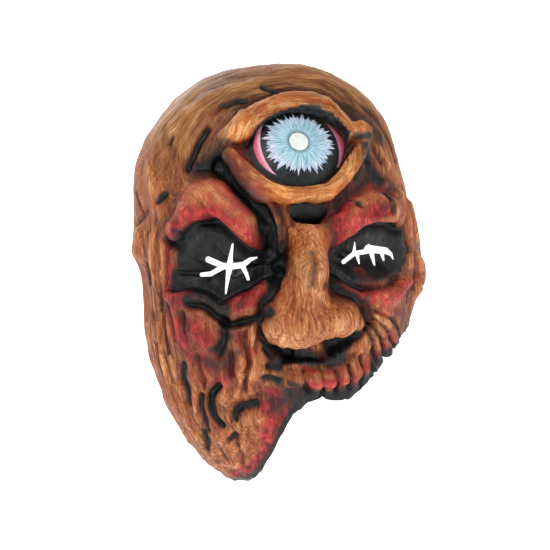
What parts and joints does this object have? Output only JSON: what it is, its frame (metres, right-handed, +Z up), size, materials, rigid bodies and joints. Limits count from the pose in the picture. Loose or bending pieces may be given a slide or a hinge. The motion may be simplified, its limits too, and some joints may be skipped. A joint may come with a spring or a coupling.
{
  "type": "latex halloween mask",
  "caption": "Painted latex face mask of a burnt, torn creature with a domed third eye in its forehead, cut eye slits, foam pads and a snap-fastened elastic head strap.",
  "frame": {"origin": "middle of the head opening, in the plane of its rim, at the height of the eye slits", "axes": "+Z up from the torn chin to the crown; the face looks along -Y and the wearer's head leaves along +Y; +X is the wearer's left"},
  "size_m": [0.1618, 0.1966, 0.2236],
  "materials": {
    "latex_skin": "matte hand-painted latex, tan with red and black",
    "painted_eye": "painted pale blue iris on black",
    "foam": "open-cell foam, matte",
    "patch_rubber": "matte",
    "snap_metal": "nickel-plated, satin",
    "tab_webbing": "woven polyester webbing",
    "elastic": "ribbed knitted elastic",
    "thread": "polyester thread",
    "slider_plastic": "moulded acetal"
  },
  "bodies": {
    "mask": {"mask_skin": "latex_skin", "eye_dome": "painted_eye", "forehead_pad": "foam", "left_cheek_pad": "foam", "right_cheek_pad": "foam", "left_anchor_patch": "patch_rubber", "right_anchor_patch": "patch_rubber", "left_snap_post": "snap_metal", "right_snap_post": "snap_metal", "left_snap_stud": "snap_metal", "right_snap_stud": "snap_metal"},
    "strap": {"left_snap_socket": "snap_metal", "right_snap_socket": "snap_metal", "left_snap_cap": "snap_metal", "right_snap_cap": "snap_metal", "left_end_tab": "tab_webbing", "right_end_tab": "tab_webbing", "band_ring": "snap_metal", "elastic_band": "elastic", "strap_stitching": "thread"},
    "slider": {"strap_slider": "slider_plastic"}
  },
  "joints": [
    {"name": "strap_swing", "type": "hinge", "parent": "mask", "child": "strap", "pos_m": [0, -0.012, 0.02], "axis": [1, 0, 0], "range_deg": [-55, 40]},
    {"name": "slider_slide", "type": "slide", "parent": "strap", "child": "slider", "axis": [0.342, 0.9397, 0], "range_m": [-0.012, 0.014]}
  ]
}
